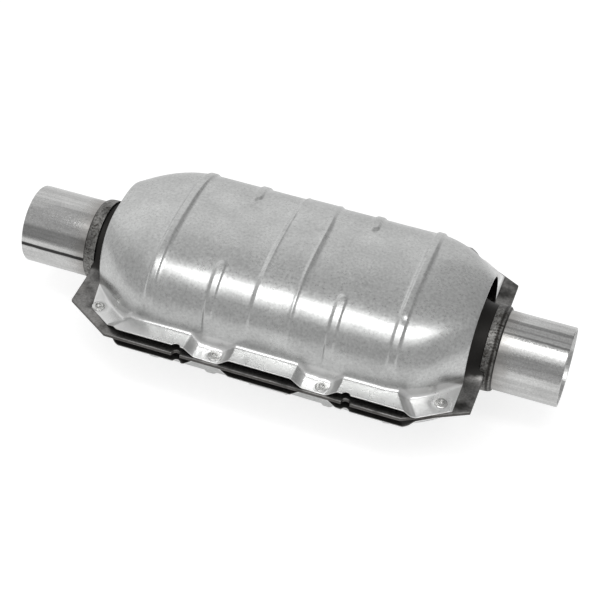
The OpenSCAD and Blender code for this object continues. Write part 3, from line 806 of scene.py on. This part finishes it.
def pressing(x, y):
    """Height pressed out of the sheet: full beads, side beads with round ends, and
    the middle band with a fine ridge at its steps. Past the crown most of them lean
    towards the inlet a little."""
    lean = eased((y - LEAN_Y) / LEAN_RUN)
    height = 0
    for side, leaning in zip((-1, 1), FULL_BEAD_LEANS):
        off = x - BEADS_X - side * FULL_BEAD_SPACING / 2 + leaning * lean
        height = height + BEAD_H * bead(off, BEAD_W)
    short = np.clip(SIDE_BEAD_GAP / 2 + BEAD_W / 2 - np.abs(y - SIDE_BEAD_Y), 0, None)
    for side in (-1, 1):
        off = x - BEADS_X - side * SIDE_BEAD_SPACING / 2 + SIDE_BEAD_LEAN * lean
        height = height + BEAD_H * bead(np.hypot(off, short), BEAD_W)
    for side, leaning in zip((-1, 1), BAND_LEANS):
        inward = BAND_LENGTH / 2 - side * (x - BEADS_X + leaning * lean)
        step = BAND_H * eased(inward / BAND_STEP + 0.5) + RIDGE_H * bead(inward, RIDGE_W)
        height = height + np.where(side * (x - BEADS_X) > 0, step, 0)
    return height


def lifted(x):
    """Flange height: 0 on a tab, 1 on a lifted stretch, with rounded bends."""
    def slope(distance):
        value = distance / RAMP
        return 0.5 + 0.5 * (np.sqrt(value ** 2 + RAMP_SOFTNESS)
                            - np.sqrt((value - 1) ** 2 + RAMP_SOFTNESS))
    tabs = [slope(half_shield - END_TAB - np.abs(x - shield_x))]
    tabs += [slope(np.abs(x - tab) - MID_TAB_FLAT / 2) for tab in MID_TAB_X]
    return np.clip(np.min(tabs, axis=0), 0, 1)


def flange_shift(x, end):
    """How far the outer edge of the flange is moved along X: the folds of the end
    tabs slant outwards, and the inlet tabs' outer corner is set back."""
    across = np.abs(x - shield_x)
    tab_x = half_shield - END_TAB
    slant = FOLD_SLANT * eased((across - tab_x + RAMP) / (2 * RAMP) + 1)
    slant = slant * eased((half_shield - across) / (half_shield - tab_x))
    return np.where(x < shield_x, INLET_TAB_SKEW * end ** 2 - slant, slant)


def shield_face(x, depth, marks):
    """The shield's outer face (depth 0) or inner face (depth SHIELD_T). marks(p)
    gives how far the sheet stands out at points p, (rows, columns, 3)."""
    past = np.abs(x - shield_x) - SHIELD_STRAIGHT / 2
    end = np.clip(past / (half_shield - SHIELD_STRAIGHT / 2), 0, 1)
    taper = end ** TAPER_POWER
    foot = TAB_TOP + FLANGE_LIFT * lifted(x) - depth
    bend = SHIELD_BEND + (RIM_BEND - SHIELD_BEND) * taper + depth
    shift = flange_shift(x, end)
    edge = notched(shield_edge(x + shift), x + shift)
    squareness = np.array([[SIDE_SQUARENESS, CROWN_SQUARENESS]])
    y, z, facing = half_section(
        (SHIELD_W + (RIM_W - SHIELD_W) * taper) / 2 - depth,
        (SHIELD_H + (RIM_H - SHIELD_H) * taper) / 2 - depth,
        squareness + (RIM_SQUARENESS - squareness) * end[:, None], foot, bend, edge,
        CROWN_COLUMNS, BEND_COLUMNS, FLANGE_COLUMNS)
    y = y + SPLAY * (1 - end[:, None]) * np.clip(1 - z / SPLAY_H, 0, None) ** 2
    y, z, facing = both_sides(y, z, facing)
    y = y - OVAL_SHIFT * (1 - end[:, None])
    out = np.linspace(0, 1, FLANGE_COLUMNS + 1)[None, :]
    along = np.zeros_like(y)
    drawn_in = (REAR_DRAWN_IN * eased((x - DRAWN_IN_X[0]) / DRAWN_IN_RUNS[0])
                * eased((DRAWN_IN_X[1] - x) / DRAWN_IN_RUNS[1]))
    for side, flange in ((1, slice(-FLANGE_COLUMNS - 1, None)),
                         (-1, slice(FLANGE_COLUMNS, None, -1))):
        inner = y[:, flange][:, :1]
        reach = edge - drawn_in * (side > 0)
        y[:, flange] = inner + (side * reach[:, None] - inner) * out
        along[:, flange] = shift[:, None] * out
    x = x[:, None] + along
    points = np.stack([x, y, z], -1)
    facing_out = np.stack([np.zeros_like(y), np.cos(facing), np.sin(facing)], -1)
    above = eased((z - foot[:, None] - bend[:, None]) / BEAD_RISE)
    height = pressing(x, y) * above + marks(points)
    return points + facing_out * height[..., None]


def sheet_marks(seed, dents):
    """How a pressed sheet departs from its form: slow waves of about a tenth of a
    millimetre, a shallow moat round each rivet, and the given dents, each with a
    centre, a radius and a height."""
    draw = np.random.default_rng(seed)
    waves = [(draw.uniform(*WAVE_LENGTHS), draw.uniform(*WAVE_LENGTHS),
              draw.uniform(0, 2 * math.pi)) for _ in range(7)]

    def marks(points):
        x, y, z = points[..., 0], points[..., 1], points[..., 2]
        girth = np.sign(y) * (np.abs(y) + (SHIELD_H / 2 - z))
        out = sum(WAVE_HEIGHT * np.sin(2 * math.pi * (x / along + girth / around) + start)
                  for along, around, start in waves)
        for rivet_x, rivet_y in rivet_places:
            off = np.hypot(x - rivet_x, np.abs(y) - rivet_y)
            moat = MOAT_DEPTH * np.exp(-((off - MOAT_R) / MOAT_W) ** 2)
            out = out - np.where(z < TAB_TOP + 2, moat, 0)
        for centre, radius, height in dents:
            off = np.linalg.norm(points - np.array(centre), axis=-1)
            out = out + height * np.exp(-(off / radius) ** 2)
        return out
    return marks


# Dents seen on the upper shield: centre, radius and height in millimetres. First
# those of the inlet cone, then the crown's, the outlet cone's and the small pits.
upper_dents = [((-107.8, 3.6, 53), 4.5, -0.5), ((-110.5, -7.9, 53), 4, -0.45),
               ((-104, 9, 53), 4, -0.35), ((-112, -42, 36), 5, -0.5), ((-104, -50, 30), 4, 0.4),
               ((-118, -34, 38), 4, 0.35), ((-98, -38, 43), 4.5, -0.4),
               ((-7.1, 18.2, 53), 3, -0.35), ((15.6, 12.7, 53), 3, -0.3),
               ((108, -47, 36), 5, -0.35), ((116, -20, 46), 4, -0.3),
               ((93.1, -44.6, 47.3), 1.6, -0.6), ((-88.1, -20.4, 53), 0.8, -0.3),
               ((17.8, -67.2, 11.8), 1.0, -0.4), ((-39.6, 29, 52), 1.7, -0.75),
               ((48.4, 29.3, 52), 1.7, -0.75)]
lower_dents = [((-60, 20, 53), 5, -0.4), ((30, -35, 51), 4, -0.35), ((80, 5, 53), 4, -0.4)]

# Places where the sheet bends sharply, which get more rows
bend_lines = [shield_x + side * (half_shield - END_TAB - d) for side in (-1, 1) for d in (0, RAMP)]
bend_lines += [tab + side * (MID_TAB_FLAT / 2 + d)
               for tab in MID_TAB_X for side in (-1, 1) for d in (0, RAMP)]
bead_lines = [BEADS_X + side * spacing / 2 + d for side in (-1, 1)
              for spacing in (FULL_BEAD_SPACING, SIDE_BEAD_SPACING) for d in (-2.5, 0, 2.5)]
bead_lines += [BEADS_X + side * BAND_LENGTH / 2 for side in (-1, 1)]
notch_lines = [x + d for x in NOTCH_X for d in (-NOTCH_R, 0, NOTCH_R)]
shield_rows = stations(shield_x - half_shield, shield_x + half_shield, SHIELD_ROWS,
                       bend_lines + bead_lines + notch_lines, reach=1.6, gain=3.0)


def aluminised():
    """Shield steel: a bright, finely mottled coating with clouds of grey, and painted light on the
    flange, lighter still on the tabs and most of all on those towards the outlet."""
    material, tree, shader, where, colour, _ = metal(
        "aluminised_sheet", (0.54, 0.545, 0.54), 0.3, cloud=0.026, mottle=0.0019, rub=0.6,
        tone_depth=0.36, gloss_depth=0.16, relief=0.06)
    parts = add(tree, "SeparateXYZ", {0: where})
    height = maths(tree, "ABSOLUTE", parts.outputs[2])
    # Painted light: the flange and its lifted stretches are lightened, and the tabs more so towards
    # the outlet, standing in for light thrown onto them from the shield's side wall.
    flange = maths(tree, "MULTIPLY", ramp(tree, height, 0.009, 0.0105, 1.0, 0.0), 0.7)
    tab = maths(tree, "MULTIPLY", ramp(tree, height, 0.003, 0.0055, 1.0, 0.0),
                ramp(tree, parts.outputs[0], -0.1, -0.06, 0.25, 0.9))
    flange_painted_light = mixed(tree, flange, colour, (0.72, 0.72, 0.715))
    tree.links.new(mixed(tree, tab, flange_painted_light, (0.94, 0.94, 0.935)), shader.inputs["Base Color"])
    return material


def shaded_shield_inside():
    """The side that faces the body: the same coating, dulled, and darkened as painted shade for the
    gap between shield and body.
    """
    return metal("shaded_shield_inside", (0.2, 0.195, 0.19), 0.5, mottle=0.0014, relief=0.1)[0]


# The inner faces get the darker material: painted shade for the gap between shield and body.
shield_steel, inside_steel = aluminised(), shaded_shield_inside()
for label, flip, seed, dents in (("upper", (1, 1, 1), 3, upper_dents),
                                 ("lower", (1, 1, -1), 11, lower_dents)):
    marks = sheet_marks(seed, dents)
    shield = plate(f"{label}_ribbed_shield", shield_face(shield_rows, 0, marks) * flip,
                   shield_face(shield_rows, SHIELD_T, marks) * flip)
    shield.data.materials.append(shield_steel)
    shield.data.materials.append(inside_steel)
    rows = len(shield_rows) + 2 * len(EDGE_TURNS)
    columns = len(shield.data.vertices) // rows // 2
    faces = np.arange(len(shield.data.polygons))
    round_loop = faces % (2 * columns)
    inside = ((faces < (rows - 1) * 2 * columns) & (round_loop >= columns + len(EDGE_TURNS) - 1)
              & (round_loop < 2 * columns - len(EDGE_TURNS)))
    shield.data.polygons.foreach_set("material_index", inside.astype(np.int32))
    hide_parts(f"{label}_heat_shield")

# Rivets. Semi-tubular steel rivets through both shields and both flanges: a
# domed head below, and above it the tube's end rolled out into a collar round a
# small pit. Each is a little uneven, as set by hand.
RIVET_HEAD_D = 9
RIVET_D = 4.8
HEAD_H = 2.4
ROLL_H = 1.0
COLLAR_IN = 0.5
NUB_R = 2.3
NUB_H = 2.2
PIT_R = 1.1
OFF_CENTRE = 0.05
THREE_LOBED = 0.03
NUB_TILT = 0.15
RIVET_STEPS = 48


def rivet_profile():
    """Radius and height of a rivet, from the bottom of its dome to its pit."""
    turn = np.radians(np.linspace(3, 90, 12))
    head_r = RIVET_HEAD_D / 2
    dome = np.stack([head_r * np.sin(turn), -TAB_TOP - HEAD_H * np.cos(turn)], -1)
    shank = [(head_r - 0.2, -TAB_TOP), (RIVET_D / 2, -TAB_TOP), (RIVET_D / 2, TAB_TOP),
             (head_r - 0.3, TAB_TOP)]
    back = np.radians(np.linspace(0, 90, 9))
    inner_r = NUB_R + COLLAR_IN
    collar = np.stack([inner_r + (head_r - inner_r) * np.cos(back),
                       TAB_TOP + ROLL_H * 0.75 * np.sin(back) ** 0.8], -1)
    nub_turn = np.radians(np.linspace(0, 180, 11))
    nub = np.stack([(NUB_R + PIT_R) / 2 + (NUB_R - PIT_R) / 2 * np.cos(nub_turn),
                    TAB_TOP + ROLL_H * 0.8 + (NUB_H - ROLL_H * 0.8) * np.sin(nub_turn)], -1)
    pit = [(PIT_R * 0.8, TAB_TOP + 0.5), (PIT_R * 0.2, TAB_TOP + 0.42)]
    return np.concatenate([dome, shank, collar, nub, pit])


def rivet(place, draw):
    """One rivet turned about the vertical through its place, slightly lopsided."""
    profile = rivet_profile()
    profile_r, profile_z = profile[:, :1], profile[:, 1:]
    angle = np.linspace(0, 2 * math.pi, RIVET_STEPS, endpoint=False)[None, :]
    uneven = (OFF_CENTRE * np.sin(angle + draw.uniform(0, 6))
              + THREE_LOBED * np.sin(3 * angle + draw.uniform(0, 6)))
    above = eased((profile_z - TAB_TOP) / 0.4)
    radius = profile_r * (1 + uneven * above)
    tilt = NUB_TILT * above * np.cos(angle + draw.uniform(0, 6)) * (profile_r < NUB_R + 0.3)
    points = np.stack([place[0] + radius * np.cos(angle), place[1] + radius * np.sin(angle),
                       profile_z + tilt], -1)
    return points.reshape(-1, 3), capped(len(profile), RIVET_STEPS)


rivet_steel = metal("rivet_steel", (0.6, 0.6, 0.59), 0.2, cloud=0.004, mottle=0.0006,
                    rub=0.3, tone_depth=0.4, gloss_depth=0.2, relief=0.3)[0]
rivet_draw = np.random.default_rng(5)
for label, side in (("front", -1), ("rear", 1)):
    all_points, all_quads = [], []
    for rivet_x, rivet_y in rivet_places:
        points, quads = rivet((rivet_x, side * rivet_y), rivet_draw)
        all_quads.append(quads + sum(len(p) for p in all_points))
        all_points.append(points)
    row = solid(f"{label}_rivet_row", np.concatenate(all_points) * MM, np.concatenate(all_quads),
                crease=60)
    row.data.materials.append(rivet_steel)
    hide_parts(f"{label}_rivets")

# Studio. The part lies on a white table under one large softbox with two dimmer
# fringes, in a grey room with a pale wall behind on the left, whose upper edge
# slants down to the right.
FLOOR_SIZE = 6.0
FLOOR_FRONT = 0.4
SOFTBOX_HEIGHT = 1.1
SOFTBOX_X = (-0.47, 0.69)
# Front edge, rear edge (y) and brightness of the softbox and of its two fringes
SOFTBOX_BANDS = (("softbox", -0.44, -0.19, 4.2), ("inner_fringe", -0.64, -0.44, 1.3),
                 ("outer_fringe", -1.0, -0.64, 0.7))
FLOOR_SEEN = 0.72
FLOOR_MIRRORED = 0.52
# Brightness of the rear wall at its foot and higher up, and of the room above, on
# the right and in front, and the normal of the plane through the wall's upper edge
ROOM_FLOOR = 0.8
ROOM_LOW = 1.0
ROOM_TOP = 0.52
ROOM_RIGHT = 0.42
ROOM_FRONT = 0.54
WALL_EDGE = (-0.854, 0.2525, -0.4542)


def floor_material():
    """White board: a matte surface that keeps the shadow, with light of its own for
    camera, glossy and transmission rays, so that it reads as white."""
    material = bpy.data.materials.new("white_board")
    material.use_nodes = True
    tree = material.node_tree
    tree.nodes.remove(tree.nodes["Principled BSDF"])
    path = add(tree, "LightPath")
    mirrored = maths(tree, "MAXIMUM", path.outputs["Is Glossy Ray"],
                     path.outputs["Is Transmission Ray"])
    seen = maths(tree, "MULTIPLY", path.outputs["Is Camera Ray"], FLOOR_SEEN)
    strength = maths(tree, "MULTIPLY_ADD", mirrored, FLOOR_MIRRORED, seen)
    matte = add(tree, "BsdfDiffuse", {"Color": (0.5, 0.5, 0.5, 1)})
    glow = add(tree, "Emission", {"Color": (1, 1, 1, 1), "Strength": strength})
    both = add(tree, "AddShader", {0: matte.outputs[0], 1: glow.outputs[0]})
    tree.links.new(both.outputs[0], tree.nodes["Material Output"].inputs["Surface"])
    return material


floor_mesh = bpy.data.meshes.new("table")
rest_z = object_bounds()[0].z
reach = FLOOR_SIZE / 2
floor_mesh.from_pydata([(-reach, -FLOOR_FRONT, rest_z), (reach, -FLOOR_FRONT, rest_z),
                        (reach, reach, rest_z), (-reach, reach, rest_z)], [], [(0, 1, 2, 3)])
table = bpy.data.objects.new("table", floor_mesh)
bpy.context.collection.objects.link(table)
floor_mesh.materials.append(floor_material())

for label, front_y, rear_y, radiance in SOFTBOX_BANDS:
    lamp = bpy.data.lights.new(label, "AREA")
    lamp.shape = "RECTANGLE"
    lamp.size, lamp.size_y = SOFTBOX_X[1] - SOFTBOX_X[0], rear_y - front_y
    lamp.energy = radiance * math.pi * lamp.size * lamp.size_y
    holder = bpy.data.objects.new(label, lamp)
    bpy.context.collection.objects.link(holder)
    holder.location = (sum(SOFTBOX_X) / 2, (front_y + rear_y) / 2, SOFTBOX_HEIGHT)

world = bpy.data.worlds.new("studio_room")
bpy.context.scene.world = world
world.use_nodes = True
tree = world.node_tree
looking = add(tree, "TexCoord").outputs["Generated"]
way = add(tree, "SeparateXYZ", {0: looking})
rear = ramp(tree, way.outputs[1], -0.3, 0.5)
wall_level = ramp(tree, way.outputs[2], 0.0, 0.65, ROOM_FLOOR, ROOM_LOW)
below_edge = add(tree, "VectorMath", {0: looking, 1: WALL_EDGE},
                 operation="DOT_PRODUCT").outputs["Value"]
above_wall = ramp(tree, below_edge, -0.04, 0.02, 1.0, 0.0)
top_level = ramp(tree, way.outputs[0], 0.1, 0.7, ROOM_TOP, ROOM_RIGHT)
rear_level = add(tree, "Mix", {"Factor": above_wall, 2: wall_level, 3: top_level}).outputs[0]
front_level = ramp(tree, way.outputs[2], 0.0, 0.9, ROOM_FRONT, ROOM_TOP)
level = add(tree, "Mix", {"Factor": rear, 2: front_level, 3: rear_level}).outputs[0]
path = add(tree, "LightPath")
shown = maths(tree, "MAXIMUM", level, path.outputs["Is Camera Ray"])
tree.nodes["Background"].inputs["Color"].default_value = (1, 1, 1, 1)
tree.links.new(shown, tree.nodes["Background"].inputs["Strength"])

# Camera. Placed where the photograph was taken from, worked out from the pipe
# ends and the flange outline: angles in degrees, distances in millimetres, and
# the focal length in pixels of a picture 600 pixels wide.
CAMERA_AZIMUTH, CAMERA_ELEVATION, CAMERA_ROLL = 17.4, 44.4, 3.01
CAMERA_DISTANCE, CAMERA_RIGHT, CAMERA_UP = 1196.9, 4.57, -5.36
FOCAL_PIXELS, PICTURE_PIXELS, SENSOR_MM = 1670.4, 600, 36

azimuth, elevation, roll = np.radians([CAMERA_AZIMUTH, CAMERA_ELEVATION, CAMERA_ROLL])
back = np.array([np.sin(azimuth) * np.cos(elevation), -np.cos(azimuth) * np.cos(elevation),
                 np.sin(elevation)])
level_right = np.array([np.cos(azimuth), np.sin(azimuth), 0.0])
level_up = np.cross(back, level_right)
right = np.cos(roll) * level_right + np.sin(roll) * level_up
up = -np.sin(roll) * level_right + np.cos(roll) * level_up
place = (back * CAMERA_DISTANCE + right * CAMERA_RIGHT + up * CAMERA_UP) * MM
camera = bpy.data.objects.new("camera", bpy.data.cameras.new("camera"))
bpy.context.collection.objects.link(camera)
camera.matrix_world = Matrix(np.vstack([np.column_stack([right, up, back, place]),
                                        [0, 0, 0, 1]]).tolist())
camera.data.sensor_width = SENSOR_MM
camera.data.lens = FOCAL_PIXELS * SENSOR_MM / PICTURE_PIXELS
bpy.context.scene.camera = camera
bpy.context.scene.view_settings.view_transform = "Standard"
